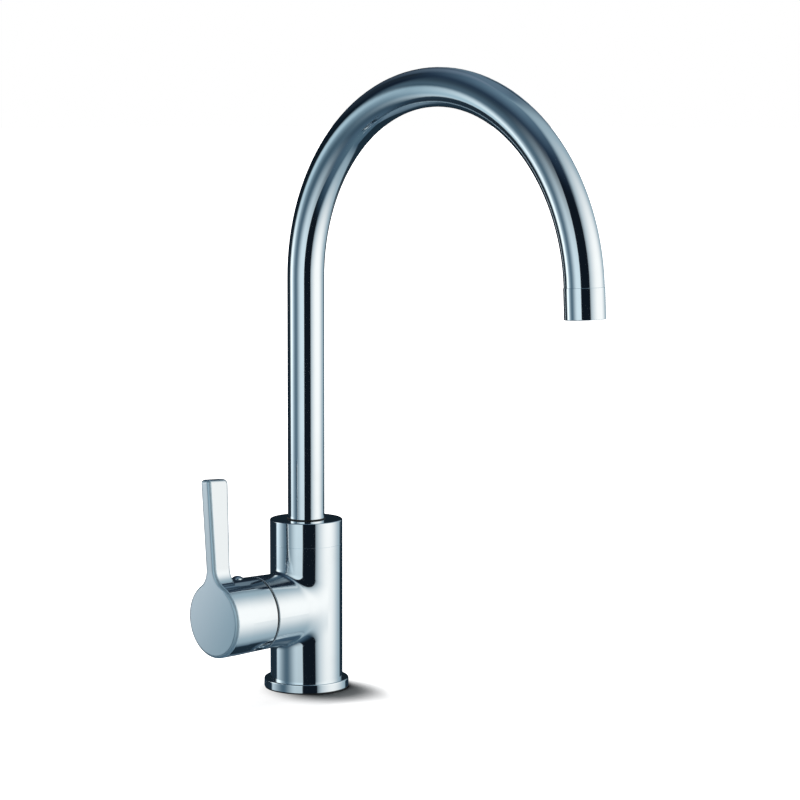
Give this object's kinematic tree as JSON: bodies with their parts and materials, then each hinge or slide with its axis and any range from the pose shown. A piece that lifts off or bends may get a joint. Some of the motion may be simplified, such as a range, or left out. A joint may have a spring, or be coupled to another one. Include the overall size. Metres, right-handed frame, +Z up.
{
  "type": "three way filtered water tap",
  "caption": "Deck mounted kitchen tap with a tall gooseneck spout that swivels, a side lever barrel, and separate mains and filtered water ways to one outlet.",
  "frame": {"origin": "centre of the base on the deck, on the body's vertical axis", "axes": "+Z up along the body and riser, -Y forwards along the spout's reach, -X along the lever barrel"},
  "size_m": [0.1083, 0.2878, 0.4074],
  "materials": {
    "satin_chrome": "satin chrome plate over brass",
    "bright_chrome": "bright chrome plate over brass",
    "brass": "turned brass",
    "black_rubber": "moulded seal rubber",
    "ceramic": "lapped alumina ceramic",
    "grey_plastic": "moulded valve plastic",
    "white_plastic": "low friction plastic",
    "black_plastic": "moulded plastic",
    "stainless": "stainless steel",
    "food_tube": "food grade hose plastic"
  },
  "bodies": {
    "body": {"tap_body": "satin_chrome", "spout_collar": "satin_chrome", "base_ring": "satin_chrome", "base_seal": "black_rubber", "cartridge_base": "grey_plastic", "port_seals": "black_rubber", "fixed_ceramic_disc": "ceramic", "cartridge_housing": "grey_plastic", "cartridge_nut": "brass", "lower_glide_ring": "white_plastic", "upper_glide_ring": "white_plastic"},
    "handle": {"handle": "satin_chrome", "index_cap": "bright_chrome", "grub_screw": "stainless", "cartridge_spindle": "brass", "spindle_seal": "black_rubber", "disc_carrier": "white_plastic", "moving_ceramic_disc": "ceramic"},
    "spout": {"spout_tube": "satin_chrome", "spout_bush": "brass", "spout_seal_1": "black_rubber", "spout_seal_2": "black_rubber", "outlet_collar": "satin_chrome", "aerator_washer": "black_rubber", "aerator_housing": "bright_chrome", "aerator_screen": "stainless", "flow_straightener": "white_plastic", "filter_nozzle": "bright_chrome", "filter_line": "food_tube", "filter_plug": "brass", "plug_seal": "black_rubber"}
  },
  "joints": [
    {"name": "lever_turn", "type": "hinge", "parent": "body", "child": "handle", "pos_m": [-0.0446, 0, 0.0547], "axis": [1, 0, 0], "range_deg": [-85.2, 94.8]},
    {"name": "spout_swivel", "type": "hinge", "parent": "body", "child": "spout", "pos_m": [0, 0, 0.104], "axis": [0, 0, 1], "range_deg": [-120, 120]}
  ]
}
